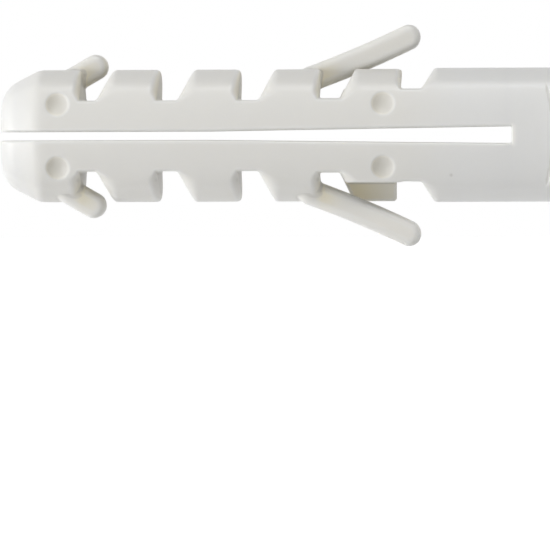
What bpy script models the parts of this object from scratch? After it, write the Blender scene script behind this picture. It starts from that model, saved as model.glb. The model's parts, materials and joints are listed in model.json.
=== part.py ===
"""Expansion plug for a drilled hole: a round collar, two toothed legs and four sprung barbs.

The collar stands at the mouth of the hole and carries both legs. A slit parts the legs as far as the
collar, and a screw driven down the tapered channel between them spreads them against the hole.
Each leg carries a short and a long barb, which fold in as the plug is pushed home and spring out again.
The plug is one moulding, divided here where it bends: at the root of each leg and of each barb.

Stations run along the plug from the tip end, and heights are measured from its axis.
The origin is on the axis in the mouth face, +X points out of the hole and +Z is up.
One leg and its barbs are shaped above the axis, and half a turn about the axis gives the other leg.
The marks of the ejector pins are cut last, because both legs have theirs on the front, at -Y.
"""

import math

import bmesh
import bpy
from mathutils import Matrix, Vector

# Overall sizes, in metres
LENGTH = 0.040
COLLAR_RADIUS = 0.0040
LEG_RADIUS = 0.00395

# Front and back faces, which are flattened and slightly crowned
FLAT_DEPTH = 0.0033
FLAT_CROWN_RADIUS = 0.0068

# Tapered nose
NOSE_LENGTH = 0.00228
NOSE_FACE_RADIUS = 0.0028
NOSE_CORNER_RADIUS = 0.0009

# Slit between the legs
SLIT_WIDTH = 0.00045
SLIT_FLARE_START = 0.0121
SLIT_ROOT_WIDTH = 0.00098
SLIT_INTO_COLLAR = 0.00459

# Teeth: each has an upright back, which faces the collar, and a slanted front
TIP_BLOCK_BACK = 0.00482
FIRST_TOOTH_BACK = 0.0094
TOOTH_PITCH = 0.0048
TOOTH_COUNT = 4
TOOTH_FOOT_LENGTH = 0.00358
TOOTH_SLANT_RUN = 0.00092
TOOTH_BACK_ROUND = 0.0003
TOOTH_SIDE_ROUND = 0.00085
TOOTH_SIDE_START = 0.0022
NOTCH_FLOOR = 0.0021

# Wide notch between the last tooth and the collar
LAST_NOTCH_LENGTH = 0.00126
LAST_NOTCH_FLOOR = 0.00275
COLLAR_SLANT_RUN = 0.0008

# Screw channel and the mouth of the collar
CHANNEL_TIP_RADIUS = 0.0007
CHANNEL_ROOT_RADIUS = 0.0019
MOUTH_RADIUS = 0.0025
MOUTH_LEAD_IN = 0.0003
MOUTH_CHAMFER = 0.00025

# Shoulder where the flattened faces run out into the round end of the collar
SHOULDER_PAST_SLIT = 0.00145
SHOULDER_BULGE = 0.0007
SHOULDER_RUN = 0.0004

# Dents left by the ejector pins, at the same height on both legs
PIN_MARK_STATIONS = (0.00353, 0.02278)
PIN_MARK_HEIGHT = 0.00188
PIN_MARK_RADIUS = 0.0006
PIN_MARK_DEPTH = 0.0001

# Barbs
BARB_THICKNESS = 0.0015
BARB_WIDTH = 0.0015
BARB_EDGE_ROUND = 0.0005
BARB_HINGE_INSET = 0.0004
BARB_POCKET_FLOOR = 0.0028
LONG_BARB_TOOTH = 3
LONG_BARB_SETBACK = 0.0001
LONG_BARB_REACH = 0.00587
LONG_BARB_ANGLE = math.radians(23.0)
LONG_BARB_BEND = math.radians(5.5)
SHORT_BARB_SETBACK = 0.00029
SHORT_BARB_REACH = 0.00116
SHORT_BARB_ANGLE = math.radians(30.1)
SHORT_BARB_BEND = 0.0

# Clearances
HINGE_GAP = 0.0003
BARB_CLEARANCE = 0.0003

# How finely round forms are divided, and the angle from which an edge looks sharp
TURN_SEGMENTS = 48
PIN_MARK_SEGMENTS = 24
ROUND_STEPS = 3
BARB_END_STEPS = 8
BARB_SIDE_STEPS = 5
SHARP_ANGLE = math.radians(30.0)

# Finishes: colour, roughness
COLLAR_FINISH = ((0.80, 0.80, 0.78), 0.42)
LEG_FINISH = ((0.80, 0.80, 0.78), 0.42)
BARB_FINISH = ((0.77, 0.77, 0.73), 0.45)

# Places that follow from the sizes above
TOOTH_BACKS = [FIRST_TOOTH_BACK + i * TOOTH_PITCH for i in range(TOOTH_COUNT)]
LAST_NOTCH_END = TOOTH_BACKS[-1] + LAST_NOTCH_LENGTH
SLIT_END = LAST_NOTCH_END + COLLAR_SLANT_RUN + SLIT_INTO_COLLAR
LEG_END = SLIT_END - HINGE_GAP / 2
COLLAR_FRONT = SLIT_END + HINGE_GAP / 2
SHOULDER_START = SLIT_END + SHOULDER_PAST_SLIT
LEG_HINGE_HEIGHT = (CHANNEL_ROOT_RADIUS + COLLAR_RADIUS) / 2
BARB_HINGE_HEIGHT = LEG_RADIUS - BARB_HINGE_INSET
BARB_SEAT_RADIUS = BARB_THICKNESS / 2 + BARB_CLEARANCE
SHORT_BARB_STATION = TIP_BLOCK_BACK - SHORT_BARB_SETBACK
LONG_BARB_BACK = TOOTH_BACKS[LONG_BARB_TOOTH - 1]
LONG_BARB_STATION = LONG_BARB_BACK - LONG_BARB_SETBACK

# How far cutting shapes stand clear of the plug, and run on past the back of a tooth
MARGIN = 0.001
OVERRUN = 0.0002
ABOVE = max(COLLAR_RADIUS, LEG_RADIUS) + MARGIN


def clear_scene():
    for obj in list(bpy.data.objects):
        bpy.data.objects.remove(obj, do_unlink=True)


def at(station, y, z):
    """A point in the plug's frame."""
    return Vector((station - LENGTH, y, z))


def section_radius(angle, radius):
    """Radius of the cross-section at an angle from +Y: a circle, flattened at the front and back."""
    offset = FLAT_CROWN_RADIUS - FLAT_DEPTH
    across = offset * abs(math.cos(angle))
    crowned = math.sqrt(across**2 + FLAT_CROWN_RADIUS**2 - offset**2) - across
    return min(radius, crowned)


def arc(centre, radius, start, end, steps):
    """Points of an arc from the start angle to the end angle, both included."""
    points = []
    for i in range(steps + 1):
        angle = start + (end - start) * i / steps
        points.append((centre[0] + radius * math.cos(angle), centre[1] + radius * math.sin(angle)))
    return points


def mesh_object(name, bm):
    bmesh.ops.recalc_face_normals(bm, faces=bm.faces)
    mesh = bpy.data.meshes.new(name)
    bm.to_mesh(mesh)
    bm.free()
    obj = bpy.data.objects.new(name, mesh)
    bpy.context.scene.collection.objects.link(obj)
    return obj


def loft(name, rings, closed=False):
    """Skin a row of rings. The ends are capped, or joined to each other if the row is closed."""
    bm = bmesh.new()
    loops = [[bm.verts.new(point) for point in ring] for ring in rings]
    count = len(loops[0])
    pairs = list(zip(loops, loops[1:]))
    if closed:
        pairs.append((loops[-1], loops[0]))
    else:
        bm.faces.new(loops[0])
        bm.faces.new(loops[-1])
    for one, other in pairs:
        for i in range(count):
            j = (i + 1) % count
            bm.faces.new((one[i], one[j], other[j], other[i]))
    return mesh_object(name, bm)


def prism(name, outline, y_low, y_high):
    """Extrude a side outline of (station, height) points across the plug."""
    rings = [[at(s, y, z) for s, z in outline] for y in (y_low, y_high)]
    return loft(name, rings)


def combine(target, tool, operation):
    """Apply a Boolean to the target and remove the tool."""
    modifier = target.modifiers.new(operation.title(), "BOOLEAN")
    modifier.operation = operation
    modifier.solver = "EXACT"
    modifier.object = tool
    graph = bpy.context.evaluated_depsgraph_get()
    result = bpy.data.meshes.new_from_object(target.evaluated_get(graph))
    target.modifiers.clear()
    target.data = result
    bpy.data.objects.remove(tool, do_unlink=True)


def slit_half_width(station):
    flare = (station - SLIT_FLARE_START) / (SLIT_END - SLIT_FLARE_START)
    return (SLIT_WIDTH + max(flare, 0.0) * (SLIT_ROOT_WIDTH - SLIT_WIDTH)) / 2


def nose_profile():
    """(station, radius) points of the nose: a rounded end, then a straight taper to the full leg."""
    slope = math.atan2(LEG_RADIUS - NOSE_FACE_RADIUS, NOSE_LENGTH)
    tangent = NOSE_CORNER_RADIUS * math.tan((math.pi / 2 - slope) / 2)
    centre = (NOSE_CORNER_RADIUS, NOSE_FACE_RADIUS - tangent)
    corner = arc(centre, NOSE_CORNER_RADIUS, math.pi, math.pi / 2 + slope, 2 * ROUND_STEPS)
    return corner + [(NOSE_LENGTH, LEG_RADIUS)]


def leg_ring(station, radius, scale=1.0):
    """Upper half of the cross-section at one station, reaching a little below the axis."""
    step = 2 * math.pi / TURN_SEGMENTS
    ring = []
    for i in range(-1, TURN_SEGMENTS // 2 + 2):
        size = section_radius(i * step, radius) * scale
        ring.append(at(station, size * math.cos(i * step), size * math.sin(i * step)))
    return ring


def leg_blank():
    """The leg before its notches are cut: a rounded nose, and a small round at each tooth's back."""
    rings = [leg_ring(s, LEG_RADIUS, radius / LEG_RADIUS) for s, radius in nose_profile()]
    for back in [TIP_BLOCK_BACK] + TOOTH_BACKS:
        centre = (back - TOOTH_BACK_ROUND, LEG_RADIUS - TOOTH_BACK_ROUND)
        for station, radius in arc(centre, TOOTH_BACK_ROUND, math.pi / 2, 0.0, ROUND_STEPS):
            rings.append(leg_ring(station, radius))
        next_radius = COLLAR_RADIUS if back == TOOTH_BACKS[-1] else LEG_RADIUS
        rings.append(leg_ring(back + OVERRUN, next_radius))
    rings.append(leg_ring(LEG_END + MARGIN, COLLAR_RADIUS))
    return loft("leg", rings)


def slant(foot, floor, run, top):
    """A slanted face from its foot on a notch floor, carried on at the same slope to above the plug."""
    return [(foot + run * (ABOVE - floor) / (top - floor), ABOVE), (foot, floor)]


def leg_profile():
    """Side outline of the leg: slit face, root, and then the teeth from the collar to the tip."""
    outline = [(-MARGIN, slit_half_width(0.0)), (SLIT_FLARE_START, slit_half_width(SLIT_FLARE_START))]
    outline += [(LEG_END, slit_half_width(LEG_END)), (LEG_END, ABOVE)]
    outline += slant(LAST_NOTCH_END, LAST_NOTCH_FLOOR, COLLAR_SLANT_RUN, COLLAR_RADIUS)
    floor = LAST_NOTCH_FLOOR
    for back in reversed(TOOTH_BACKS):
        outline += [(back, floor), (back, ABOVE)]
        outline += slant(back - TOOTH_FOOT_LENGTH, NOTCH_FLOOR, TOOTH_SLANT_RUN, LEG_RADIUS)
        floor = NOTCH_FLOOR
    outline += [(TIP_BLOCK_BACK, floor), (TIP_BLOCK_BACK, ABOVE), (-MARGIN, ABOVE)]
    return outline


def crossing(line, other):
    """Point where two lines of the side outline cross."""
    (a, b), (c, d) = line
    (e, f), (g, h) = other
    turn = (c - a) * (h - f) - (d - b) * (g - e)
    share = ((e - a) * (h - f) - (f - b) * (g - e)) / turn
    return (a + share * (c - a), b + share * (d - b))


def inset_teeth(outline, inset):
    """Draw the backs and slants of the teeth in by the inset, and leave the other lines where they are."""
    lines = []
    for one, other in zip(outline, outline[1:] + outline[:1]):
        run, rise = other[0] - one[0], other[1] - one[1]
        on_tooth = rise != 0.0 and ABOVE in (one[1], other[1]) and one[0] not in (LEG_END, -MARGIN)
        move = inset / math.hypot(run, rise) if on_tooth else 0.0
        lines.append([(s - move * rise, z + move * run) for s, z in (one, other)])
    return [crossing(before, after) for before, after in zip(lines[-1:] + lines[:-1], lines)]


def leg_cutout():
    """The side outline carried across the plug, with the teeth rounded off towards the front and back."""
    foot = FLAT_DEPTH - FLAT_CROWN_RADIUS + math.sqrt(FLAT_CROWN_RADIUS**2 - NOTCH_FLOOR**2)
    widest = math.asin(min((foot - TOOTH_SIDE_START) / TOOTH_SIDE_ROUND, 1.0))
    side_round = arc((0.0, TOOTH_SIDE_START), TOOTH_SIDE_ROUND, 0.0, widest, ROUND_STEPS)
    levels = [(y, TOOTH_SIDE_ROUND - across) for across, y in side_round]
    levels.append((ABOVE, levels[-1][1]))
    levels = [(-y, inset) for y, inset in reversed(levels)] + levels
    outline = leg_profile()
    rings = [[at(s, y, z) for s, z in inset_teeth(outline, inset)] for y, inset in levels]
    return loft("profile", rings)


def barb_seat(station, back):
    """Outline of the hollow that a barb's round root turns in, open towards the collar and outwards."""
    centre = (station, BARB_HINGE_HEIGHT)
    outline = arc(centre, BARB_SEAT_RADIUS, math.pi / 2, 3 * math.pi / 2, 2 * BARB_END_STEPS)
    end = back + OVERRUN
    return outline + [(end, BARB_HINGE_HEIGHT - BARB_SEAT_RADIUS), (end, ABOVE), (station, ABOVE)]


def barb_pocket():
    """Outline of the pocket in the last tooth that the long barb folds into."""
    low = TOOTH_BACKS[-1] - TOOTH_FOOT_LENGTH
    high = TOOTH_BACKS[-1] + OVERRUN
    return [(low, BARB_POCKET_FLOOR), (high, BARB_POCKET_FLOOR), (high, ABOVE), (low, ABOVE)]


def screw_channel():
    """Tapered round cutter down the middle of the legs."""
    slope = (CHANNEL_ROOT_RADIUS - CHANNEL_TIP_RADIUS) / SLIT_END
    rings = []
    for station in (-MARGIN, SLIT_END + MARGIN):
        radius = CHANNEL_TIP_RADIUS + slope * station
        turn = arc((0.0, 0.0), radius, 0.0, 2 * math.pi, TURN_SEGMENTS)[:-1]
        rings.append([at(station, y, z) for y, z in turn])
    return loft("channel", rings)


def make_leg():
    leg = leg_blank()
    combine(leg, leg_cutout(), "INTERSECT")
    combine(leg, screw_channel(), "DIFFERENCE")
    seats = [
        barb_seat(SHORT_BARB_STATION, TIP_BLOCK_BACK),
        barb_seat(LONG_BARB_STATION, LONG_BARB_BACK),
        barb_pocket(),
    ]
    for outline in seats:
        combine(leg, prism("seat", outline, 0.0, ABOVE), "DIFFERENCE")
    return leg


def pin_mark(station, height):
    """Cutter for an ejector mark, square to the crowned front at the given height."""
    tilt = math.asin(height / FLAT_CROWN_RADIUS)
    centre = at(station, FLAT_CROWN_RADIUS - FLAT_DEPTH, 0.0)
    outwards = Vector((0.0, -math.cos(tilt), math.sin(tilt)))
    sideways = Vector((0.0, math.sin(tilt), math.cos(tilt)))
    turn = arc((0.0, 0.0), PIN_MARK_RADIUS, 0.0, 2 * math.pi, PIN_MARK_SEGMENTS)[:-1]
    rings = []
    for distance in (FLAT_CROWN_RADIUS - PIN_MARK_DEPTH, FLAT_CROWN_RADIUS + MARGIN):
        rings.append([centre + distance * outwards + Vector((x, 0.0, 0.0)) + z * sideways for x, z in turn])
    return loft("pin mark", rings)


def barb_spine(station, reach, angle, bend):
    """(point, heading) along a barb's middle, from its hinge to the centre of its round end."""
    turns = [bend * ((i + 0.5) / BARB_SIDE_STEPS - 0.5) for i in range(BARB_SIDE_STEPS)]
    step = reach / sum(math.cos(turn) for turn in turns)
    point = Vector((station, BARB_HINGE_HEIGHT))
    spine = [(point, angle - bend / 2)]
    for i, turn in enumerate(turns):
        point = point + step * Vector((math.cos(angle + turn), math.sin(angle + turn)))
        spine.append((point, angle + bend * ((i + 1) / BARB_SIDE_STEPS - 0.5)))
    return spine


def barb_outline(spine):
    """Side outline of a barb: an even thickness along its spine, with round ends."""
    half = BARB_THICKNESS / 2
    inner = [(p.x + half * math.sin(a), p.y - half * math.cos(a)) for p, a in spine[1:-1]]
    outer = [(p.x - half * math.sin(a), p.y + half * math.cos(a)) for p, a in spine[1:-1]]
    root, root_heading = spine[0]
    end, end_heading = spine[-1]
    quarter = math.pi / 2
    end_round = arc(end, half, end_heading - quarter, end_heading + quarter, BARB_END_STEPS)
    root_round = arc(root, half, root_heading + quarter, root_heading + 3 * quarter, BARB_END_STEPS)
    return inner + end_round + outer[::-1] + root_round


def make_barb(station, reach, angle, bend):
    """A springy strip, bent outwards along its length, with rounded edges."""
    outline = barb_outline(barb_spine(station, reach, angle, bend))
    barb = prism("barb", outline, BARB_CLEARANCE, BARB_CLEARANCE + BARB_WIDTH)
    bm = bmesh.new()
    bm.from_mesh(barb.data)
    sides = [face for face in bm.faces if len(face.verts) == len(outline)]
    edges = list({edge for face in sides for edge in face.edges})
    rounding = {"offset": BARB_EDGE_ROUND, "segments": ROUND_STEPS, "profile": 0.5}
    bmesh.ops.bevel(bm, geom=edges, affect="EDGES", **rounding)
    bm.to_mesh(barb.data)
    bm.free()
    return barb


def full_ring(station, radius, bulge=0.0, flattened=False):
    """A ring of the cross-section, whose front and back are drawn towards the mouth by the bulge."""
    ring = []
    for i in range(TURN_SEGMENTS):
        angle = 2 * math.pi * i / TURN_SEGMENTS
        size = section_radius(angle, radius) if flattened else radius
        place = station + bulge * math.cos(angle) ** 2
        ring.append(at(place, size * math.cos(angle), size * math.sin(angle)))
    return ring


def make_collar():
    """A thick sleeve: flattened outside near the legs, round at the mouth, tapered inside."""
    bore_slope = (MOUTH_RADIUS - CHANNEL_ROOT_RADIUS) / (LENGTH - SLIT_END)
    rings = [
        full_ring(COLLAR_FRONT, COLLAR_RADIUS, flattened=True),
        full_ring(SHOULDER_START, COLLAR_RADIUS, SHOULDER_BULGE, flattened=True),
        full_ring(SHOULDER_START + SHOULDER_RUN, COLLAR_RADIUS, SHOULDER_BULGE),
        full_ring(LENGTH - MOUTH_CHAMFER, COLLAR_RADIUS),
        full_ring(LENGTH, COLLAR_RADIUS - MOUTH_CHAMFER),
        full_ring(LENGTH, MOUTH_RADIUS + MOUTH_LEAD_IN),
        full_ring(LENGTH - MOUTH_LEAD_IN, MOUTH_RADIUS),
        full_ring(COLLAR_FRONT, CHANNEL_ROOT_RADIUS + bore_slope * (COLLAR_FRONT - SLIT_END)),
    ]
    return loft("collar", rings, closed=True)


def nylon(name, finish):
    colour, roughness = finish
    material = bpy.data.materials.new(name)
    material.use_nodes = True
    shader = material.node_tree.nodes["Principled BSDF"]
    shader.inputs["Base Color"].default_value = (*colour, 1.0)
    shader.inputs["Roughness"].default_value = roughness
    shader.inputs["Metallic"].default_value = 0.0
    return material


def move_origin(obj, place):
    """Put an object's origin on its hinge axis and leave its shape where it is."""
    obj.data.transform(Matrix.Translation(-place))
    obj.location = place


def finish_node(obj, name, finish):
    obj.name = name
    obj.data.materials.clear()
    obj.data.materials.append(nylon(name + "_nylon", finish))
    obj.data.shade_smooth()
    obj.data.set_sharp_from_angle(angle=SHARP_ANGLE)


def half_turned(obj):
    """A copy of a piece of the upper leg, turned half round the plug's axis."""
    copy = obj.copy()
    copy.data = obj.data.copy()
    bpy.context.scene.collection.objects.link(copy)
    copy.matrix_world = Matrix.Rotation(math.pi, 4, "X") @ obj.matrix_basis
    return copy


def hang(obj, parent):
    """Parent an object and leave it where it is."""
    bpy.context.view_layer.update()
    place = obj.matrix_world.copy()
    obj.parent = parent
    obj.matrix_parent_inverse = parent.matrix_world.inverted()
    obj.matrix_world = place


def main():
    clear_scene()
    collar = make_collar()
    finish_node(collar, "collar", COLLAR_FINISH)

    leg = make_leg()
    move_origin(leg, at(SLIT_END, 0.0, LEG_HINGE_HEIGHT))
    barbs = {
        "long_barb": (LONG_BARB_STATION, LONG_BARB_REACH, LONG_BARB_ANGLE, LONG_BARB_BEND),
        "short_barb": (SHORT_BARB_STATION, SHORT_BARB_REACH, SHORT_BARB_ANGLE, SHORT_BARB_BEND),
    }
    pieces = {"leg": leg}
    for name, (station, reach, angle, bend) in barbs.items():
        barb = make_barb(station, reach, angle, bend)
        move_origin(barb, at(station, BARB_CLEARANCE + BARB_WIDTH / 2, BARB_HINGE_HEIGHT))
        pieces[name] = barb

    lower = {name: half_turned(obj) for name, obj in pieces.items()}
    for station in PIN_MARK_STATIONS:
        combine(leg, pin_mark(station, PIN_MARK_HEIGHT), "DIFFERENCE")
        combine(lower["leg"], pin_mark(station, -PIN_MARK_HEIGHT), "DIFFERENCE")
    for side, nodes in (("upper", pieces), ("lower", lower)):
        for name, obj in nodes.items():
            finish_node(obj, f"{side}_{name}", LEG_FINISH if name == "leg" else BARB_FINISH)
            hang(obj, collar if name == "leg" else nodes["leg"])


main()
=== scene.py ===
# %% [markdown]
# # A nylon wall plug
# The plug is one white moulding: a round collar at the mouth of the hole, two toothed legs parted by a
# slit, and four springy barbs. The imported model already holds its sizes, its bodies and the hinges that
# stand for the places where the nylon bends. We load it first, because everything made here has to fit
# it.

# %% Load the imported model
import json
import math

import bmesh
import bpy
import numpy as np
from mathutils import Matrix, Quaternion, Vector


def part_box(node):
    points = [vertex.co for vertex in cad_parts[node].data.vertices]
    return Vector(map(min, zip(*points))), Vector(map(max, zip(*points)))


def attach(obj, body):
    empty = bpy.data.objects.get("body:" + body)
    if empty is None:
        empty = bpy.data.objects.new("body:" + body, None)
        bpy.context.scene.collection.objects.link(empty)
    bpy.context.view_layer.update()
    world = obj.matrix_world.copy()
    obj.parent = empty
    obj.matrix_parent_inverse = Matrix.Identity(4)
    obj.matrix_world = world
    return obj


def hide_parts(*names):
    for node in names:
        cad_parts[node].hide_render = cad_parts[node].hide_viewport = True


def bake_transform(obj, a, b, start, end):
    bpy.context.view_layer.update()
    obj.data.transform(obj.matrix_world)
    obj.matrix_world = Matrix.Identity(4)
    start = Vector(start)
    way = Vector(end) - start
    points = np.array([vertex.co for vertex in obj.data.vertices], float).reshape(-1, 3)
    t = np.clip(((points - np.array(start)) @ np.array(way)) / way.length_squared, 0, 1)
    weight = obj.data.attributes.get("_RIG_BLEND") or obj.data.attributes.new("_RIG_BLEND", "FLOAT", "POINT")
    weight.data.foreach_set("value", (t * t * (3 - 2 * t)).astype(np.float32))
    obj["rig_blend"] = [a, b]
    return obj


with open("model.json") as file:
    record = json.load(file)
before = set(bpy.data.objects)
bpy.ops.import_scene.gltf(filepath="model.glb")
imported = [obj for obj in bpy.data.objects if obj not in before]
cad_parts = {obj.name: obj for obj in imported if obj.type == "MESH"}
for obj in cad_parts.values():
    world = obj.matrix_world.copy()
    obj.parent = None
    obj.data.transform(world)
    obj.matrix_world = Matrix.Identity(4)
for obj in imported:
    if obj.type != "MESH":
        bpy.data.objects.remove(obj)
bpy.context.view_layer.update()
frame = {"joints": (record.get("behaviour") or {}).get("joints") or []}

# %% [markdown]
# ## Sizes
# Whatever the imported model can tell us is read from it: the length, the collar's radius, the barbs' width
# and the places of the hinges. The rest are the sizes of the moulding's own forms, in millimetres.
# Stations run along the plug from the tip, and heights are measured from its axis.

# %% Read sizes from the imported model
MM = 0.001
hinge = {joint["name"]: Vector(joint["pos_m"]) / MM for joint in frame["joints"]}
length = -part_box("upper_leg")[0].x / MM
collar_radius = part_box("collar")[1].z / MM
slit_end = length + hinge["upper_leg_spread"].x
barb_height = hinge["upper_long_barb_flex"].z
barb_near, barb_far = (corner.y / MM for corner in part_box("upper_long_barb"))
print(f"length {length:.2f}, collar radius {collar_radius:.2f}, slit ends at station {slit_end:.2f} mm")

# %% [markdown]
# ## One solid from distances
# Every edge of a moulding is rounded, and its barbs grow out of it without a seam. Bevels on a mesh with
# so many cuts break where they meet. So the plug is described by a formula that gives the distance from
# any point to its surface, negative inside. Two forms are joined by taking the smaller distance and cut
# by taking the larger one. Softening that choice over a short length rounds the edge where they meet.

# %% Softened choices
def soft_max(a, b, over):
    """The larger of two distances, rounded off where they differ by less than the given length."""
    near = np.maximum(over - np.abs(a - b), 0.0) / over
    return np.maximum(a, b) + near * near * over / 4


def soft_min(a, b, over):
    """The smaller of two distances, filled in where they differ by less than the given length."""
    return -soft_max(-a, -b, over)


trial = 0.3
print(f"a square edge softened over {trial} mm loses {trial / 4 * math.sqrt(2):.3f} mm at its corner")

# %% [markdown]
# ## Outside of the plug
# Seen from the end, the plug is a circle with its front and back flattened and slightly crowned, which
# lets the tool open. The flats run out in a curved shoulder on the collar. At the tip all of it tapers to
# a nose. A lathe would give the circle, but not the flats, so the section is a circle cut by two wider
# arcs.

# %% Section, shoulder and nose
leg_radius = 3.95
flat_depth = 3.3
crown_radius = 6.8
crease_round = 0.16
first_tooth_back = 9.4
tooth_pitch = 4.8
tooth_count = 4
tooth_backs = [first_tooth_back + i * tooth_pitch for i in range(tooth_count)]
last_tooth_back = tooth_backs[-1]
shoulder_gap = 1.7
shoulder_foot = slit_end + shoulder_gap
shoulder_bulge = 0.7
shoulder_slope = 1.2
shoulder_fillet = 0.12
nose_length = 2.28
nose_face_radius = 2.8
nose_share_limits = (0.4, 1.6)
nose_blend = 0.14
nose_corner = 1.0
mouth_round = 0.32
tiny = 1e-6


def front_share(y, z):
    """1 straight in front of the axis or behind it, 0 straight above or below."""
    return y * y / (y * y + z * z + tiny)


def section(y, z, radius, lift=0.0):
    """Distance to a circle with crowned flats, which are moved outwards by the lift."""
    flats = np.hypot(np.abs(y) + crown_radius - flat_depth, z) - crown_radius - lift
    return soft_max(np.hypot(y, z) - radius, flats, crease_round)


def outside(s, y, z):
    """Distance to the plug before it is cut: nose, flattened length, shoulder and round mouth."""
    past_shoulder = s - shoulder_foot - shoulder_bulge * front_share(y, z)
    lift = soft_max(shoulder_slope * past_shoulder, 0.0, shoulder_fillet)
    radius = np.where(s < last_tooth_back, leg_radius, collar_radius)
    body = section(y, z, radius, lift)
    taper = (leg_radius - nose_face_radius) / nose_length
    share = np.clip((nose_face_radius + taper * s) / leg_radius, *nose_share_limits)
    nose = section(y / share, z / share, leg_radius) * share * math.cos(math.atan(taper))
    body = soft_max(body, nose, nose_blend)
    body = soft_max(body, -s, nose_corner)
    return soft_max(body, s - length, mouth_round)


print(f"at mid length the front lies {-outside(length / 2, 0.0, 0.0):.2f} mm off the axis")

# %% [markdown]
# ## Saw teeth
# The teeth slope towards the tip, so that the plug goes in easily, and stand upright towards the collar,
# so that it doesn't come out. They could be modelled one by one. They share one outline seen from the
# side, so a loop lays down each tooth as the part of the plane between a sloping line and an upright one.

# %% Side outline of a leg
tooth_foot_length = 3.58
tooth_slant_run = 0.92
tooth_back_lean = 0.14
notch_floor = 2.1
barb_notch_floor = 2.2
tip_block_back = 4.82
last_notch_length = 1.26
last_notch_floor = 2.75
collar_slant_run = 0.8
corner_fill = 0.14


def back_lean(z):
    """How far a tooth's back has moved towards the collar at a height."""
    return tooth_back_lean * (z - notch_floor) / (leg_radius - notch_floor)


def slope(s, z, foot, floor, run, top):
    """Distance to a sloping face that rises from its foot on a notch floor."""
    rise = top - floor
    return ((z - floor) * run - (s - foot) * rise) / math.hypot(rise, run)


def teeth(s, z):
    """Distance to the side outline: tip block, teeth, notch floors and the collar's slope."""
    outline = soft_min(z - notch_floor, s - tip_block_back, corner_fill)
    for back in tooth_backs:
        face = slope(s, z, back - tooth_foot_length, notch_floor, tooth_slant_run, leg_radius)
        outline = soft_min(outline, np.maximum(face, s - back - back_lean(z)), corner_fill)
    for back, floor in zip(tooth_backs[-2:], (barb_notch_floor, last_notch_floor)):
        raised = np.maximum(z - floor, back - tooth_foot_length / 2 - s)
        outline = soft_min(outline, raised, corner_fill)
    collar_foot = last_tooth_back + last_notch_length
    face = slope(s, z, collar_foot, last_notch_floor, collar_slant_run, collar_radius)
    return soft_min(outline, face, corner_fill)


print("tooth backs at stations", [round(back, 2) for back in tooth_backs])

# %% [markdown]
# ## Slit, screw channel and barb pocket
# A flat steel tongue in the mould leaves the slit, which widens towards the collar. Its end leans a
# little, so that the tongue pulls out. A tapered core pin leaves the channel that the screw cuts into and
# the bore of the collar. Half of the last tooth is cut low, as a pocket for the long barb to fold into.
# Boolean cutters would leave sharp edges, so each is a region whose distance is turned round before it
# cuts.

# %% Regions that are cut away
slit_width = 0.5
slit_root_width = 1.0
slit_flare_start = 12.1
slit_end_draft = 0.029
channel_tip_radius = 0.7
channel_root_radius = 1.9
mouth_radius = 2.5
pocket_floor = 2.8
pocket_lead = 0.6


def slit(s, y, z):
    """Distance to the slit, negative inside it; its end leans, so that the steel tongue pulls out."""
    flare = np.maximum(s - slit_flare_start, 0.0) / (slit_end - slit_flare_start)
    half_width = (slit_width + flare * (slit_root_width - slit_width)) / 2
    return np.maximum(z - half_width, s - slit_end - slit_end_draft * y)


def bore(s, y, z):
    """Distance to the screw channel and the collar's bore, negative inside them."""
    radius = np.interp(s, [0.0, slit_end, length], [channel_tip_radius, channel_root_radius, mouth_radius])
    return np.hypot(y, z) - radius


def pocket(s, y, z):
    """Distance to the pocket, which takes the barb's side of the last tooth down to a low floor."""
    start = last_tooth_back - tooth_foot_length - pocket_lead
    end = last_tooth_back + last_notch_length / 2
    return np.maximum(np.maximum(pocket_floor - z, -y), np.maximum(start - s, s - end))


print(f"slit {slit_width} mm wide at the tip and {slit_root_width} mm at its end")

# %% [markdown]
# ## Barbs
# A barb is a rounded strip that leaves the outside of a tooth at a slant and curls out a little. On the
# real plug it melts into the tooth. A bevelled box pushed into the tooth would show a seam there. So the
# barb's line is a shallow parabola; the strip is what lies within half a thickness of that line, and it
# starts inside the tooth, so that the joint fills in by itself.

# %% A barb
barb_thickness = 1.5
barb_edge = 0.5
barb_root_depth = 0.4
barb_middle = (barb_near + barb_far) / 2
barb_width = barb_far - barb_near
barbs = {
    "long_barb": {"angle": math.radians(23.0), "bend": math.radians(5.5), "reach": 5.87},
    "short_barb": {"angle": math.radians(30.1), "bend": 0.0, "reach": 1.16},
}
for name, shape in barbs.items():
    shape["station"] = length + hinge[f"upper_{name}_flex"].x


def barb(s, y, z, station, angle, bend, reach):
    """Distance to a barb of the upper leg, which rises away from the axis towards the collar."""
    along = (s - station) * math.cos(angle) + (z - barb_height) * math.sin(angle)
    off = (z - barb_height) * math.cos(angle) - (s - station) * math.sin(angle)
    bow = bend / (2 * reach) * along * (reach - along)
    past = np.maximum(along - reach, 0.0) + np.minimum(along + barb_root_depth, 0.0)
    strip = np.hypot(past, off + bow) - barb_thickness / 2
    sides = np.abs(y - barb_middle) - barb_width / 2
    return soft_max(strip, sides, barb_edge)


print("barbs start at stations", {name: round(shape["station"], 2) for name, shape in barbs.items()})

# %% [markdown]
# ## Ejector marks
# Four pins push the warm moulding out of the tool and leave a shallow round dish each, all on its front.
# They could be painted with a bump, but they catch the light at a slant, so they are real hollows: a
# small depth is added to the distance inside each circle and softened at its rim.

# %% Dishes left by the ejector pins
mark_stations = (3.53, 22.78)
mark_height = 1.88
mark_radius = 0.72
mark_depth = 0.18
mark_rim = 0.03


def ejector_marks(s, y, z):
    """How far the surface sinks at the ejector marks on the front."""
    sink = 0.0
    for station in mark_stations:
        share = np.hypot(s - station, np.abs(z) - mark_height) / mark_radius
        sink = sink + soft_max(mark_depth * (1 - share**2), 0.0, mark_rim)
    return np.where(y < -flat_depth / 2, sink, 0.0)


print(2 * len(mark_stations), "dishes", mark_depth, "mm deep")

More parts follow.
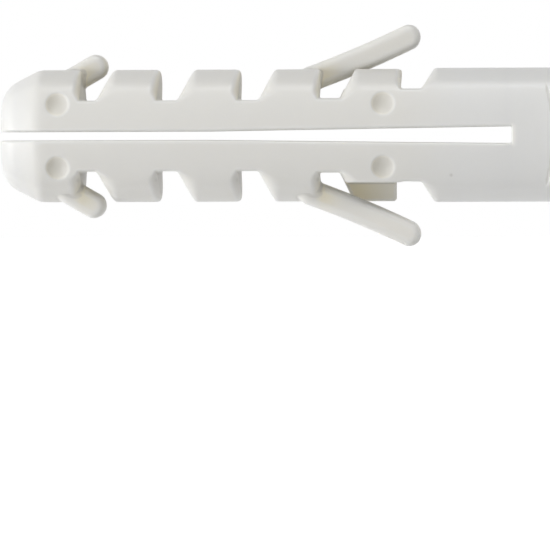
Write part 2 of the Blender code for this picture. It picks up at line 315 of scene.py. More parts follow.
# %% [markdown]
# ## The whole moulding
# Half a turn about its axis brings the plug onto itself, so the lower leg is the upper one read at turned
# coordinates. Only the ejector marks don't follow: they are all on the side of the tool that has the
# pins. One rounding for every edge would be simpler, but the real edges differ: the front's are softest,
# most of all on the slants of the teeth. The far half of the last two teeth is also a little shorter.

# %% Rounding along the teeth
floor_edge_round = 0.16
top_edge_round = 0.36
back_side_round = 0.85
slant_side_round = 1.4
rear_side_round = 0.45
sharp_top_round = 0.15
barb_side_round = 0.15
barb_side_length = 1.5
floor_climb = (3.0, 1.0)
round_lead = 0.15
round_band = 0.75
slant_start, slant_end = 0.4, 3.6
slant_rise, slant_fall = 0.5, 0.6


def ease(share):
    """0 to 1 with a gentle start and end."""
    share = np.clip(share, 0.0, 1.0)
    return share * share * (3 - 2 * share)


def tooth_round(s, y, z, front):
    """How far the teeth's edges are softened: most on the front's slants, least along the notch floors."""
    climb = [last_tooth_back - before for before in floor_climb]
    floor = np.interp(s, climb, [notch_floor, last_notch_floor])
    above_floor = ease((z - floor + round_lead) / round_band)
    past_back = (s - first_tooth_back) % tooth_pitch
    slant = ease((past_back - slant_start) / slant_rise) * ease((slant_end - past_back) / slant_fall)
    side = np.where(front, back_side_round + (slant_side_round - back_side_round) * slant, rear_side_round)
    far_block = (s > last_tooth_back - tooth_foot_length) & ~front
    top = np.where(far_block, sharp_top_round, top_edge_round + (sharp_top_round - top_edge_round) * slant)
    full = top + (side - top) * front_share(y, z)
    for shape in barbs.values():
        apart = ((s - shape["station"]) ** 2 + (z - barb_height) ** 2) / barb_side_length**2
        full = full + np.where(y > 0, barb_side_round, 0.0) * np.exp(-apart)
    return floor_edge_round + (full - floor_edge_round) * above_floor


print(f"edges of the teeth are softened over {floor_edge_round} to {slant_side_round} mm")

# %% Distance to the whole plug
slit_round = 0.2
slit_end_round = 0.06
slit_round_fade = (0.6, 0.1)
bore_round = 0.14
pocket_round = 0.12
root_fillet = 0.2
rear_shortening = 0.3
rear_step = 0.4
# Share of the shortening at stations counted from the last tooth's back
rear_shares = {-6.5: 0.0, -5.5: 0.3, -2.0: 0.3, -1.0: 1.0, 0.2: 1.0, 0.9: 0.0}


def upper_twin(y, z):
    """Depth and height of a place as the upper leg has it, half a turn away where it is below the axis."""
    return np.where(z < 0.0, -y, y), np.abs(z)


def plug(s, y, z):
    """Distance from any point to the surface of the plug, negative inside."""
    turned, height = upper_twin(y, z)
    at_last_backs = np.interp(s - last_tooth_back, list(rear_shares), list(rear_shares.values()))
    rear = ease(y / rear_step + 0.5) * at_last_backs
    saw = teeth(s + rear * (rear_shortening + back_lean(height)), height)
    body = soft_max(outside(s, turned, height), saw, tooth_round(s, turned, height, y < 0))
    body = soft_max(body, -pocket(s, turned, height), pocket_round)
    for shape in barbs.values():
        body = soft_min(body, barb(s, turned, height, **shape), root_fillet)
    fade = [slit_end - before for before in slit_round_fade]
    slit_edge = np.interp(s, fade, [slit_round, slit_end_round])
    body = soft_max(body, -slit(s, y, height), slit_edge)
    body = soft_max(body, -bore(s, y, z), bore_round)
    return body + ejector_marks(s, y, z)


def plug_at(points):
    """Distances from rows of station, depth and height."""
    return plug(*points.T)


above_tooth = np.array([[first_tooth_back - tooth_foot_length / 2, 0.0, leg_radius + 1.0]])
print(f"1 mm above a tooth the distance reads {plug_at(above_tooth)[0]:.2f} mm")

# %% [markdown]
# ## Skin
# The distances are sampled on a grid. Each cell that the surface crosses gets one point, and points of
# neighbouring cells are joined into four-sided faces. The points are then slid along the slope of the
# distance until they lie on the surface, and evened out, which takes away the steps of the grid. A voxel
# remesh is quicker to set up, but it can't put its points exactly on the surface of the formula.

# %% Cells that the surface crosses
cell = 0.1
margin_cells = 3.3
margin = margin_cells * cell
low = np.array([0.0, -collar_radius, -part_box("upper_long_barb")[1].z / MM]) - margin
high = np.array([length, collar_radius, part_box("upper_long_barb")[1].z / MM]) + margin


def sample(function):
    """Values of a function at every point of the grid."""
    axes = [np.arange(a, b, cell) for a, b in zip(low, high)]
    grid = np.meshgrid(*axes, indexing="ij", sparse=True)
    return function(*grid)


def crossed_cells(values):
    """Index of each cell with corners on both sides of the surface."""
    inside = (values < 0).astype(np.int8)
    count = 0
    for corner in np.ndindex(2, 2, 2):
        count = count + inside[tuple(slice(c, c + n - 1) for c, n in zip(corner, values.shape))]
    return np.argwhere((count > 0) & (count < 8))


values = sample(plug)
cells = crossed_cells(values)
print("grid", values.shape, "crossed cells", len(cells))

# %% One point in each cell, and faces around each crossed grid edge
def cell_points(values, cells):
    """Mean of the places where the surface crosses the edges of each cell, in millimetres."""
    total = np.zeros((len(cells), 3))
    count = np.zeros((len(cells), 1))
    for start in np.ndindex(2, 2, 2):
        for axis in range(3):
            if start[axis]:
                continue
            a = cells + start
            step = np.eye(3, dtype=int)[axis]
            value_a = values[tuple(a.T)]
            value_b = values[tuple((a + step).T)]
            crossed = ((value_a < 0) != (value_b < 0))[:, None]
            share = value_a / np.where(crossed[:, 0], value_a - value_b, 1.0)
            total += np.where(crossed, a + share[:, None] * step, 0.0)
            count += crossed
    return low + cell * total / count


def faces_between(values, cells):
    """Four cells around each grid edge that the surface crosses, turned to face outwards."""
    number = np.full(np.array(values.shape) - 1, -1)
    number[tuple(cells.T)] = np.arange(len(cells))
    inside = values < 0
    quads = []
    for axis in range(3):
        b, c = (axis + 1) % 3, (axis + 2) % 3
        first = np.take(inside, range(values.shape[axis] - 1), axis)
        second = np.take(inside, range(1, values.shape[axis]), axis)
        at = np.argwhere(first != second)
        ring = []
        for back_b, back_c in ((1, 1), (0, 1), (0, 0), (1, 0)):
            corner = at.copy()
            corner[:, b] -= back_b
            corner[:, c] -= back_c
            ring.append(number[tuple(corner.T)])
        ring = np.stack(ring, 1)
        leaving = first[tuple(at.T)]
        quads.append(np.where(leaving[:, None], ring, ring[:, ::-1]))
    return np.concatenate(quads)


points = cell_points(values, cells)
quads = faces_between(values, cells)
print(len(points), "points", len(quads), "faces")

# %% Slide the points onto the surface and even them out
probe = 0.01
least_slope = 0.1
evening_share = 0.7
evening_rounds = 3


def gradient(at):
    """Slope of the distance at each point."""
    steps = probe * np.eye(3)
    return np.stack([plug_at(at + step) - plug_at(at - step) for step in steps], 1) / (2 * probe)


def normals_at(at):
    """Direction in which the surface faces at each point."""
    slopes = gradient(at)
    return slopes / np.linalg.norm(slopes, axis=1, keepdims=True)


def settle(at, rounds):
    """Move points down the slope of the distance until they lie on the surface."""
    for _ in range(rounds):
        steep = gradient(at)
        at = at - steep * (plug_at(at) / np.maximum((steep * steep).sum(1), least_slope))[:, None]
    return at


def even_out(at):
    """Move each point, along the surface only, towards the middle of the faces around it."""
    middles = at[quads].mean(1)
    total = np.zeros_like(at)
    for corner in range(4):
        for axis in range(3):
            total[:, axis] += np.bincount(quads[:, corner], middles[:, axis], len(at))
    count = np.bincount(quads.ravel(), minlength=len(at))
    move = total / count[:, None] - at
    normal = normals_at(at)
    return at + evening_share * (move - (move * normal).sum(1, keepdims=True) * normal)


points = settle(points, rounds=2)
for _ in range(evening_rounds):
    points = settle(even_out(points), rounds=1)
points = settle(points, rounds=1)
print(f"points lie within {np.abs(plug_at(points)).max():.4f} mm of the surface")

# %% [markdown]
# ## Edges, hollows and thin places
# Handling polishes the outer edges of nylon. Painted shade darkens its corners, the ejector dishes and the
# tooth backs, the lower backs most, and a painted warm tint of shade lies on the upper backs, in the pockets
# and dishes and at the barbs' roots. Thin nylon looks creamier than thick, and a painted glow stands for
# light that soaks through the wall into the bore, to the slit's end and into the pockets. All of
# this could be painted on by hand, but it would have to be painted again after each change of shape. So
# it is measured: how fast the slope of the distance turns tells edges from corners, and the rest follows
# from where a point lies and how it faces. Each is kept with the mesh as a number for every point.

# %% Measure how sharply the surface turns
turn_probe = 0.12
sharp_turn = 3.0


def turning(at):
    """Sum of the surface's two curvatures, as a share of a sharp edge's, from -1 to 1."""
    total = -6 * plug_at(at)
    for step in turn_probe * np.eye(3):
        total += plug_at(at + step) + plug_at(at - step)
    return np.clip(total / turn_probe**2 / sharp_turn, -1.0, 1.0)


edge = turning(points)
clear_edge, clear_hollow = 0.5, -0.3
on_edges, in_hollows = (edge > clear_edge).mean(), (edge < clear_hollow).mean()
print(f"{on_edges:.1%} of the points lie on edges and {in_hollows:.1%} in hollows")

# %% Find the tooth backs and the pocket walls
back_facing = 0.25
back_facing_band = 0.5
backs_end = last_tooth_back + 0.5
wall_start = last_tooth_back - tooth_foot_length - 0.3
wall_end = last_tooth_back + 0.1
fade_length = 2 * cell


def close_to(distance):
    """1 on a surface, fading to 0 at a short distance from it."""
    return np.clip(1 - np.abs(distance) / fade_length, 0.0, 1.0)


def on_back(s, normals):
    """1 on the upright backs of the teeth and the tip block, 0 elsewhere."""
    upright = np.clip((normals[:, 0] - back_facing) / back_facing_band, 0.0, 1.0)
    return np.where(s < backs_end, upright, 0.0)


def on_pocket_wall(s, y, z):
    """1 on the upright wall of each pocket, 0 elsewhere."""
    turned, height = upper_twin(y, z)
    in_pocket = (s > wall_start) & (s < wall_end) & (height > pocket_floor - cell)
    return np.where(in_pocket, close_to(turned), 0.0)


normals = normals_at(points)
print(f"{(on_back(points[:, 0], normals) > 0).mean():.1%} of the points lie on the backs of teeth")

# %% Mark rubbed edges, painted shade and the speck
# Painted shade darkens the ejector dishes and the tooth backs, the lower backs most; the speck is a real one.
dish_shade = 0.25
back_shade = 0.95
upper_back_shade = 0.6
speck_station, speck_height, speck_radius = 26.8, -2.37, 0.12


def dust(at, normals):
    """Painted shade in the dishes and on the tooth backs, most on the lower ones, and the collar's one dark
    speck.
    """
    s, y, z = at.T
    painted_shade = np.clip(dish_shade * ejector_marks(s, y, z) / mark_depth, 0.0, dish_shade)
    painted_shade = painted_shade + np.where(z < 0.0, back_shade, upper_back_shade) * on_back(s, normals)
    apart = ((s - speck_station) ** 2 + (z - speck_height) ** 2) / speck_radius**2
    return painted_shade + np.where(y < 0, np.exp(-apart), 0.0)


# The painted shade and the speck are taken off the edge trait, so they darken the nylon as the hollows do.
traits = {"edge": np.clip(edge - dust(points, normals), -1.0, 1.0)}
print(f"rubbed edges and dust run from {traits['edge'].min():.2f} to {traits['edge'].max():.2f}")

# %% Mark thin places and the painted glow
solid_nose_end = 1.0
thin_leg_start = 2.6
thick_root_length = 3.0
barb_extra = 0.6
# Painted glow on the pocket walls, as a share of the glow in the bore.
pocket_glow = 0.28


def thinness(at):
    """0 in the solid nose and the collar, more in the legs and 1 at the ends of the barbs."""
    s, y, z = at.T
    stations = [solid_nose_end, thin_leg_start, last_tooth_back, slit_end - thick_root_length]
    legs = np.interp(s, stations, [0.0, 1.0, 1.0, 0.0])
    out_on_barb = np.clip((np.hypot(y, z) - collar_radius) / barb_thickness, 0.0, 1.0)
    return (legs + barb_extra * out_on_barb) / (1 + barb_extra)


def soaked(at):
    """Painted glow for light through the wall: 1 in the bore and at the slit's end, less in a pocket."""
    s, y, z = at.T
    off_slit_end = np.hypot(s - slit_end, np.maximum(np.abs(z) - slit_root_width / 2, 0.0))
    off = np.minimum(np.abs(bore(s, y, z)), off_slit_end)
    return np.maximum(close_to(off), pocket_glow * on_pocket_wall(s, y, z))


traits["thin"] = thinness(points)
traits["soaked"] = soaked(points)
print(f"{(traits['soaked'] > 0).mean():.1%} of the points are lit through the wall")

# %% Mark the painted warm shade
# Painted warm shade: a warm tint laid where the nylon lies in shade.
back_warm_shade = 0.4
pocket_warm_shade, pocket_warm_shade_end = 0.9, 0.3
pocket_warm_shade_fade = (0.8, 2.4)
dish_warm_shade = 0.5
dish_warm_shade_gain = 3
root_warm_shade = 0.65
root_warm_shade_radius = 0.9
root_warm_shade_past, root_warm_shade_below = 0.3, 0.1
root_warm_shade_start = 0.5


def stain(at, normals):
    """A painted warm tint of shade on the upper backs, in the pockets and dishes and at the barbs' roots."""
    s, y, z = at.T
    warm_tint = np.where(z > 0.0, back_warm_shade, 0.0) * on_back(s, normals)
    along_wall = np.interp(last_tooth_back - s, pocket_warm_shade_fade, (pocket_warm_shade_end, pocket_warm_shade))
    warm_tint = np.maximum(warm_tint, along_wall * on_pocket_wall(s, y, z))
    nearest = np.where(s < length / 2, *mark_stations)
    tip_side = np.clip(0.5 - (s - nearest) / (2 * mark_radius), 0.0, 1.0)
    in_dish = np.clip(dish_warm_shade_gain * ejector_marks(s, y, z) / mark_depth, 0.0, 1.0)
    warm_tint = np.maximum(warm_tint, dish_warm_shade * in_dish * tip_side)
    for shape in barbs.values():
        past = s - shape["station"]
        above = np.abs(z) - barb_height + root_warm_shade_below
        apart = np.hypot(past - root_warm_shade_past, above) / root_warm_shade_radius
        at_root = np.exp(-apart * apart) * np.clip(past / root_warm_shade_start + 0.5, 0.0, 1.0)
        warm_tint = np.maximum(warm_tint, np.where(y * z > 0.0, root_warm_shade * at_root, 0.0))
    return warm_tint


traits["stain"] = stain(points, normals)
print({name: f"{value.min():.2f} to {value.max():.2f}" for name, value in traits.items()})

# %% [markdown]
# ## Cut where it bends
# The moulding could stay one mesh that bends by weights, but then its legs and barbs couldn't be taken as
# pieces of their own. So it is cut across their roots, and each piece follows its own body. The cuts run
# between columns of grid cells, so both sides share the same points and no seam shows. Each piece bends
# from the cut onwards, from the body that carries it to its own body.

# %% Share the faces out between the pieces
leg_cut_gap = 0.35
leg_cut = slit_end - leg_cut_gap
barb_cut_gap = 0.13
barb_cuts = {
    "long_barb": last_tooth_back - tooth_pitch + barb_cut_gap,
    "short_barb": tip_block_back + barb_cut_gap,
}
barb_foot = notch_floor + 0.25
barb_inner_side = 0.1


def column(station):
    """Number of the column of cells at a station."""
    return int((station - low[0]) / cell)


def spread_from(start, allowed):
    """Faces that can be reached from one face over shared points without leaving the allowed faces."""
    reached = np.zeros(len(quads), bool)
    reached[start] = True
    while True:
        touched = np.zeros(len(points), bool)
        touched[quads[reached]] = True
        grown = allowed & touched[quads].any(1)
        if (grown == reached).all():
            return reached
        reached = grown


first_column = cells[quads, 0].min(1)
centres = points[quads].mean(1)
piece_of = np.where(centres[:, 2] > 0, "upper_leg", "lower_leg").astype("<U20")
piece_of[first_column >= column(leg_cut)] = "collar"
for side, sign in (("upper", 1), ("lower", -1)):
    for name, cut in barb_cuts.items():
        shape = barbs[name]
        on_barb = (first_column >= column(cut)) & (centres[:, 0] < cut + shape["reach"] + barb_thickness)
        on_barb &= (sign * centres[:, 2] > barb_foot) & (sign * centres[:, 1] > barb_inner_side)
        tip = np.argmax(np.where(on_barb, sign * centres[:, 2], -np.inf))
        piece_of[spread_from(tip, on_barb)] = f"{side}_{name}"
print({str(name): int((piece_of == name).sum()) for name in np.unique(piece_of)})

# %% Make a closed mesh for each piece
def close_cuts(mesh):
    """Cap the cuts with flat faces, which leaves the shading of the skin as it is."""
    bm = bmesh.new()
    bm.from_mesh(mesh)
    for face in bm.faces:
        face.smooth = True
    rims = [e for e in bm.edges if e.is_boundary]
    caps = bmesh.ops.holes_fill(bm, edges=rims, sides=0)["faces"]
    for face in caps:
        face.smooth = False
    open_edges = sum(not e.is_manifold for e in bm.edges)
    bm.to_mesh(mesh)
    bm.free()
    return len(caps), open_edges


def shade_as_one(mesh, normals):
    """Shade the skin by the slope of the distance, so that neighbouring pieces agree at a cut."""
    corner = np.empty(len(mesh.loops), int)
    mesh.loops.foreach_get("vertex_index", corner)
    shading = normals[corner]
    for face in mesh.polygons:
        if not face.use_smooth:
            shading[list(face.loop_indices)] = face.normal
    mesh.normals_split_custom_set(shading.tolist())


def make_piece(name):
    """One piece of the skin as a closed mesh that carries its traits."""
    faces = quads[piece_of == name]
    used, local = np.unique(faces, return_inverse=True)
    mesh = bpy.data.meshes.new(f"nylon_{name}")
    place = (points[used] - (length, 0.0, 0.0)) * MM
    mesh.from_pydata(place.tolist(), [], local.reshape(-1, 4).tolist())
    for trait_name, value in traits.items():
        kept = mesh.attributes.new(trait_name, "FLOAT", "POINT")
        kept.data.foreach_set("value", value[used].astype(np.float32))
    caps, open_edges = close_cuts(mesh)
    shade_as_one(mesh, normals[used])
    piece = bpy.data.objects.new(f"nylon_{name}", mesh)
    bpy.context.scene.collection.objects.link(piece)
    print(f"{piece.name}: {len(mesh.polygons)} faces, {caps} caps, {open_edges} open edges")
    return piece


pieces = {str(name): make_piece(name) for name in np.unique(piece_of)}

# %% Let each piece follow its bodies
leg_bend_length = 2.4
barb_bend_length = {"long_barb": 1.8, "short_barb": 1.0}


def at_station(station):
    """Place on the plug's axis, in the model's metres."""
    return Vector(((station - length) * MM, 0.0, 0.0))


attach(pieces["collar"], "collar")
for side in ("upper", "lower"):
    leg_name = f"{side}_leg"
    start = leg_cut - 2 * cell
    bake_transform(pieces[leg_name], "collar", leg_name, at_station(start), at_station(start - leg_bend_length))
    for name, cut in barb_cuts.items():
        start = cut + 2 * cell
        end = start + barb_bend_length[name]
        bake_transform(pieces[f"{side}_{name}"], leg_name, f"{side}_{name}", at_station(start), at_station(end))
for name, piece in pieces.items():
    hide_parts(name)

# %% [markdown]
# ## Nylon colour
# Moulded nylon is never one even white. It is creamier where it is thin and paler where edges are rubbed,
# here and there a speck shows, and painted shade darkens its corners while a painted warm tint of shade lies
# in its shaded places. All three materials need this, so it is a node group that mixes those tones by slow
# noise, the numbers kept with the mesh and a sparse pattern of dots. Its second output is a painted glow
# that stands for light soaking through the wall.

# %% Node helpers
def add(tree, kind, label, **settings):
    """A node with its settings; sockets are set by their names."""
    node = tree.nodes.new(kind)
    node.name = node.label = label
    for name, value in settings.items():
        if hasattr(node, name):
            setattr(node, name, value)
        else:
            node.inputs[name.replace("_", " ")].default_value = value
    return node


def new_group(name, inputs, outputs):
    """An empty node group with named sockets, and its two ends."""
    tree = bpy.data.node_groups.new(name, "ShaderNodeTree")
    for label, kind, value in inputs:
        socket = tree.interface.new_socket(label, in_out="INPUT", socket_type=f"NodeSocket{kind}")
        socket.default_value = value
    for label, kind in outputs:
        tree.interface.new_socket(label, in_out="OUTPUT", socket_type=f"NodeSocket{kind}")
    return tree, tree.nodes.new("NodeGroupInput"), tree.nodes.new("NodeGroupOutput")


def mix_colours(tree, label, factor, a, b):
    """The first colour turning into the second as the factor grows."""
    node = add(tree, "ShaderNodeMix", label, data_type="RGBA")
    tree.links.new(factor, node.inputs["Factor"])
    tree.links.new(a, node.inputs["A"])
    tree.links.new(b, node.inputs["B"])
    return node.outputs["Result"]


def ramp(tree, label, value, start, end, to=1.0):
    """A smooth rise from 0, where the value is at the start, to its full height at the end."""
    node = add(tree, "ShaderNodeMapRange", label, interpolation_type="SMOOTHSTEP")
    tree.links.new(value, node.inputs["Value"])
    for socket, number in (("From Min", start), ("From Max", end), ("To Min", 0.0), ("To Max", to)):
        node.inputs[socket].default_value = number
    return node.outputs["Result"]


print("node helpers ready")

# %% Group for the tones of nylon
def trait(tree, name):
    """One of the numbers kept with the mesh."""
    return add(tree, "ShaderNodeAttribute", name, attribute_name=name).outputs["Fac"]


def nylon_tones():
    """The node group that gives nylon its colour, with painted shade, and its painted glow."""
    inputs = [
        ("White", "Color", (0.8, 0.8, 0.785, 1.0)),
        ("Cream", "Color", (0.8, 0.784, 0.735, 1.0)),
        ("Painted warm shade", "Color", (0.86, 0.79, 0.58, 1.0)),
        ("Rubbed", "Color", (0.82, 0.818, 0.795, 1.0)),
        # Painted shade in hollows and the real specks share this colour.
        ("Painted shade and specks", "Color", (0.58, 0.565, 0.53, 1.0)),
        # Painted glow: an emission colour that stands for light through the wall.
        ("Painted glow", "Color", (0.12, 0.115, 0.1, 1.0)),
        ("Cloud scale", "Float", 300.0),
        ("Cloud strength", "Float", 0.25),
        ("Speck scale", "Float", 260.0),
    ]
    tree, given, out = new_group("Nylon tones", inputs, [("Color", "Color"), ("Glow", "Color")])
    link = tree.links.new
    place = tree.nodes.new("ShaderNodeTexCoord").outputs["Object"]
    cloud = add(tree, "ShaderNodeTexNoise", "slow clouds", Detail=3.0, Roughness=0.55)
    link(place, cloud.inputs["Vector"])
    link(given.outputs["Cloud scale"], cloud.inputs["Scale"])
    sway = add(tree, "ShaderNodeMath", "clouds about their mean", operation="SUBTRACT")
    link(cloud.outputs["Fac"], sway.inputs[0])
    cream = add(tree, "ShaderNodeMath", "thin and cloudy", operation="MULTIPLY_ADD", use_clamp=True)
    link(sway.outputs[0], cream.inputs[0])
    link(given.outputs["Cloud strength"], cream.inputs[1])
    link(trait(tree, "thin"), cream.inputs[2])
    colour = mix_colours(tree, "cream", cream.outputs[0], given.outputs["White"], given.outputs["Cream"])
    # Painted warm shade: a warm tint where the nylon lies in shade.
    colour = mix_colours(tree, "warm tint of shade", trait(tree, "stain"), colour, given.outputs["Painted warm shade"])
    turn = trait(tree, "edge")
    edges = ramp(tree, "rubbed edges", turn, start=0.25, end=0.9, to=0.6)
    colour = mix_colours(tree, "paler edges", edges, colour, given.outputs["Rubbed"])
    # Painted shade: hollows, the ejector dishes and the tooth backs turn darker.
    hollow_shade = ramp(tree, "painted shade in hollows", turn, start=-0.1, end=-0.9, to=0.6)
    colour = mix_colours(tree, "painted shade in hollows", hollow_shade, colour, given.outputs["Painted shade and specks"])
    dots = add(tree, "ShaderNodeTexVoronoi", "specks")
    link(place, dots.inputs["Vector"])
    link(given.outputs["Speck scale"], dots.inputs["Scale"])
    spots = ramp(tree, "speck size", dots.outputs["Distance"], start=0.06, end=0.02, to=0.8)
    chosen = ramp(tree, "few specks", dots.outputs["Color"], start=0.78, end=0.8)
    specks = add(tree, "ShaderNodeMath", "chosen specks", operation="MULTIPLY")
    link(spots, specks.inputs[0])
    link(chosen, specks.inputs[1])
    colour = mix_colours(tree, "specks", specks.outputs[0], colour, given.outputs["Painted shade and specks"])
    link(colour, out.inputs["Color"])
    dark = add(tree, "ShaderNodeRGB", "no light").outputs[0]
    dark.default_value = (0.0, 0.0, 0.0, 1.0)
    # Painted glow, lit by no lamp, stands for light soaking through the wall.
    glow = mix_colours(tree, "painted glow mix", trait(tree, "soaked"), dark, given.outputs["Painted glow"])
    link(glow, out.inputs["Glow"])
    return tree


tones = nylon_tones()
print(tones.name, "takes", [item.name for item in tones.interface.items_tree if item.in_out == "INPUT"])

# %% [markdown]
# ## Mould finish
# The cavity is spark-eroded, so the skin has a fine grain that spreads its shine, and it sinks by a few
# microns as it cools, which makes reflections waver. Real faces this fine would run to millions. So a
# second group gives both as one height for a Bump node, and a roughness that follows the grain and is
# lower where edges are rubbed.

# %% Group for the grain and waviness
def mould_finish():
    """The node group that gives nylon its grain, its waviness and its shine."""
    inputs = [
        ("Grain scale", "Float", 9000.0),
        ("Wave scale", "Float", 700.0),
        ("Wave share", "Float", 0.6),
        ("Shine", "Float", 0.38),
        ("Dullness", "Float", 0.52),
    ]
    tree, given, out = new_group("Mould finish", inputs, [("Height", "Float"), ("Roughness", "Float")])
    link = tree.links.new
    place = tree.nodes.new("ShaderNodeTexCoord").outputs["Object"]
    grain = add(tree, "ShaderNodeTexNoise", "spark-eroded grain", Detail=2.0)
    wave = add(tree, "ShaderNodeTexNoise", "sink waves", Detail=1.0)
    for node, scale in ((grain, "Grain scale"), (wave, "Wave scale")):
        link(place, node.inputs["Vector"])
        link(given.outputs[scale], node.inputs["Scale"])
    height = add(tree, "ShaderNodeMix", "grain and waves", data_type="FLOAT")
    link(given.outputs["Wave share"], height.inputs["Factor"])
    link(grain.outputs["Fac"], height.inputs["A"])
    link(wave.outputs["Fac"], height.inputs["B"])
    link(height.outputs["Result"], out.inputs["Height"])
    polish = ramp(tree, "polished edges", trait(tree, "edge"), start=0.2, end=0.9, to=0.25)
    dull = add(tree, "ShaderNodeMath", "dull grain", operation="SUBTRACT", use_clamp=True)
    link(grain.outputs["Fac"], dull.inputs[0])
    link(polish, dull.inputs[1])
    rough = add(tree, "ShaderNodeMapRange", "roughness", From_Min=0.25, From_Max=0.75)
    link(dull.outputs[0], rough.inputs["Value"])
    link(given.outputs["Shine"], rough.inputs["To Min"])
    link(given.outputs["Dullness"], rough.inputs["To Max"])
    link(rough.outputs["Result"], out.inputs["Roughness"])
    return tree


finish = mould_finish()
print(finish.name, "takes", [item.name for item in finish.interface.items_tree if item.in_out == "INPUT"])

# %% [markdown]
# ## Three nylons
# Collar, legs and barbs are the same plastic, but not the same part of the tool: the collar's cavity is
# turned and finer, the legs' is spark-eroded and the barbs rub along the hole. Nylon lets a little light
# in, which a low subsurface weight gives. Values that are the same all over are set on the shader itself,
# so that they survive in other programs.

# %% Make the materials and give them to the pieces
nylon_body = {
    "IOR": 1.53,
    "Subsurface Weight": 0.15,
    "Subsurface Radius": (1.0, 0.95, 0.8),
    "Subsurface Scale": 0.0004,
}


def nylon(name, cloud_scale, grain_scale, dullness):
    """A nylon with its own size of clouds, fineness of grain and dullness."""
    material = bpy.data.materials.new(name)
    material.use_nodes = True
    tree = material.node_tree
    shader = tree.nodes["Principled BSDF"]
    colour = add(tree, "ShaderNodeGroup", "tones", node_tree=tones)
    colour.inputs["Cloud scale"].default_value = cloud_scale
    surface = add(tree, "ShaderNodeGroup", "mould finish", node_tree=finish)
    surface.inputs["Grain scale"].default_value = grain_scale
    surface.inputs["Dullness"].default_value = dullness
    bump = add(tree, "ShaderNodeBump", "grain", Strength=0.35, Distance=0.00004)
    tree.links.new(colour.outputs["Color"], shader.inputs["Base Color"])
    tree.links.new(surface.outputs["Roughness"], shader.inputs["Roughness"])
    tree.links.new(surface.outputs["Height"], bump.inputs["Height"])
    tree.links.new(bump.outputs["Normal"], shader.inputs["Normal"])
    for socket, value in nylon_body.items():
        shader.inputs[socket].default_value = value
    return material


def let_light_through(material):
    """Show the painted glow that stands for light soaking through the wall; the barbs are solid and need none.
    """
    nodes = material.node_tree.nodes
    shader = nodes["Principled BSDF"]
    material.node_tree.links.new(nodes["tones"].outputs["Glow"], shader.inputs["Emission Color"])
    shader.inputs["Emission Strength"].default_value = 1.0


nylons = {
    "collar": nylon("turned_collar_nylon", cloud_scale=300.0, grain_scale=9500.0, dullness=0.5),
    "leg": nylon("toothed_leg_nylon", cloud_scale=300.0, grain_scale=9000.0, dullness=0.52),
    "barb": nylon("rubbed_barb_nylon", cloud_scale=500.0, grain_scale=9000.0, dullness=0.48),
}
for kind in ("collar", "leg"):
    let_light_through(nylons[kind])
for name, piece in pieces.items():
    kind = name.split("_")[-1]
    piece.data.materials.append(nylons[kind])
print("materials:", [material.name for material in nylons.values()])

# %% [markdown]
# ## Floor and white surroundings
# The plug is shown against plain white. A pale floor below it takes its shadow. Seen straight by the
# camera or in a reflection, floor and world get an extra white glow that lights nothing, so the
# background is white without more light on the nylon.

# %% Floor and world
floor_height = -0.045
floor_half_width = 1.5
floor_glow = 0.47
world_fill = 0.26


def seen_directly(tree):
    """1 for rays that show the background: from the camera, in a reflection or through glass."""
    rays = tree.nodes.new("ShaderNodeLightPath").outputs
    seen = rays["Is Camera Ray"]
    for other in ("Is Glossy Ray", "Is Transmission Ray"):
        either = add(tree, "ShaderNodeMath", "either ray", operation="MAXIMUM")
        tree.links.new(seen, either.inputs[0])
        tree.links.new(rays[other], either.inputs[1])
        seen = either.outputs[0]
    return seen


def pale_floor(glow):
    """A dull pale floor that takes a shadow and is white where the camera sees it."""
    material = bpy.data.materials.new("pale_floor")
    material.use_nodes = True
    tree = material.node_tree
    shader = tree.nodes["Principled BSDF"]
    shader.inputs["Base Color"].default_value = (0.94, 0.94, 0.94, 1.0)
    shader.inputs["Roughness"].default_value = 0.9
    shader.inputs["Emission Color"].default_value = (1.0, 1.0, 1.0, 1.0)
    level = add(tree, "ShaderNodeMath", "glow", operation="MULTIPLY")
    level.inputs[1].default_value = glow
    tree.links.new(seen_directly(tree), level.inputs[0])
    tree.links.new(level.outputs[0], shader.inputs["Emission Strength"])
    return material


def white_world(fill):
    """Surroundings that are white to look at and light the plug by the fill only."""
    world = bpy.data.worlds.new("white surroundings")
    bpy.context.scene.world = world
    world.use_nodes = True
    tree = world.node_tree
    background = tree.nodes["Background"]
    background.inputs["Color"].default_value = (1.0, 1.0, 1.0, 1.0)
    level = add(tree, "ShaderNodeMapRange", "fill or white")
    level.inputs["To Min"].default_value = fill
    level.inputs["To Max"].default_value = 1.0
    tree.links.new(seen_directly(tree), level.inputs["Value"])
    tree.links.new(level.outputs["Result"], background.inputs["Strength"])


corner_signs = ((-1, -1), (1, -1), (1, 1), (-1, 1))
corners = [(x * floor_half_width, y * floor_half_width, floor_height) for x, y in corner_signs]
floor_mesh = bpy.data.meshes.new("floor")
floor_mesh.from_pydata(corners, [], [(0, 1, 2, 3)])
floor_mesh.materials.append(pale_floor(floor_glow))
floor = bpy.data.objects.new("floor", floor_mesh)
bpy.context.scene.collection.objects.link(floor)
white_world(world_fill)
print("floor at", floor_height, "m")

# %% [markdown]
# ## Light
# A round softbox stands close by on the left, a little in front of the tip and level with the plug, so
# the plug is brightest at its tip and falls off towards the collar. A wide ceiling light is far away, so
# it lights the whole floor evenly: a sun with a large angle gives that. White surroundings fill in the
# rest. The strength of each is given as the brightness of white paper that faces it.

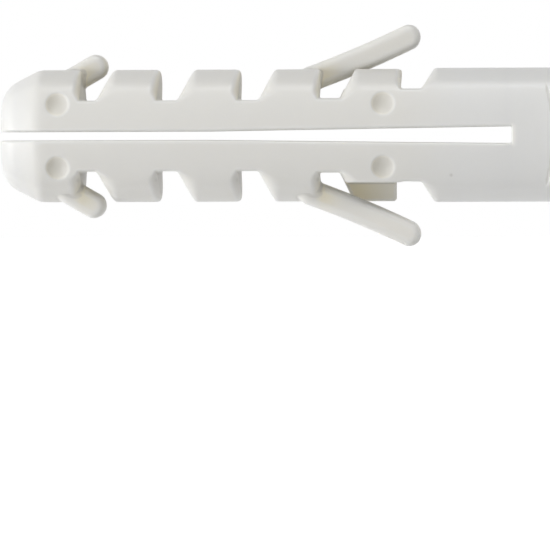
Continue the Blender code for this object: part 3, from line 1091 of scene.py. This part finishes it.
# %% Softbox and ceiling light
def add_lamp(name, kind, yaw, elevation, distance):
    """A lamp aimed at the middle of the plug; the yaw turns to the right from the viewer's side."""
    lamp = bpy.data.objects.new(name, bpy.data.lights.new(name, kind))
    a, b = math.radians(yaw), math.radians(elevation)
    towards = Vector((math.sin(a) * math.cos(b), -math.cos(a) * math.cos(b), math.sin(b)))
    lamp.location = at_station(length / 2) + distance * towards
    lamp.rotation_mode = "QUATERNION"
    lamp.rotation_quaternion = (-towards).to_track_quat("-Z", "Y")
    bpy.context.scene.collection.objects.link(lamp)
    return lamp.data


softbox_distance = 0.35
softbox_level = 0.52
softbox_width = 0.25 * softbox_distance
softbox = add_lamp("left_softbox", "AREA", yaw=-70.0, elevation=0.0, distance=softbox_distance)
softbox.shape = "DISK"
softbox.size = softbox_width
softbox.energy = softbox_level * (math.pi * softbox_distance) ** 2

ceiling_level = 0.37
ceiling_spread = math.radians(16.0)
ceiling = add_lamp("ceiling_light", "SUN", yaw=10.0, elevation=61.0, distance=0.9)
ceiling.angle = ceiling_spread
ceiling.energy = ceiling_level * math.pi
print(f"white paper facing the softbox reads {softbox_level}, facing the ceiling light {ceiling_level}")

# %% [markdown]
# ## Camera
# The photograph was taken square to the slit with a long lens, opposite the teeth nearest the collar and
# level with the slit, so that white shows right through it. The plug lies a fifth of a degree off level.
# A lens shift could bring the plug into the same part of the frame. The camera turns a little instead,
# which needs no shift, and rolls by that fifth of a degree.

# %% Camera at the photograph's angle
pixels_per_mm = 16.7
frame_pixels = 550
tip_pixel = 3
axis_pixel = 135.6
camera_roll = math.radians(-0.2)
camera_distance = 235.0
camera_station = last_tooth_back
camera_height = 0.0

middle = frame_pixels / 2
aim_along = (middle - tip_pixel) / pixels_per_mm - length
aim_height = (axis_pixel - middle) / pixels_per_mm
aim = Vector((aim_along, 0.0, aim_height)) * MM
camera_data = bpy.data.cameras.new("camera")
camera = bpy.data.objects.new("camera", camera_data)
bpy.context.scene.collection.objects.link(camera)
bpy.context.scene.camera = camera
camera.location = Vector((camera_station - length, -camera_distance, camera_height)) * MM
camera.rotation_mode = "QUATERNION"
sight = (aim - camera.location).to_track_quat("-Z", "Y")
camera.rotation_quaternion = sight @ Quaternion((0, 0, 1), camera_roll)
frame_width = frame_pixels / pixels_per_mm * MM
camera_data.lens = camera_data.sensor_width * (aim - camera.location).length / frame_width
camera_data.clip_start = 0.01
camera_data.clip_end = 10.0
bpy.context.scene.view_settings.view_transform = "Standard"
print(f"lens {camera_data.lens:.0f} mm, {frame_width / MM:.1f} mm across the frame")
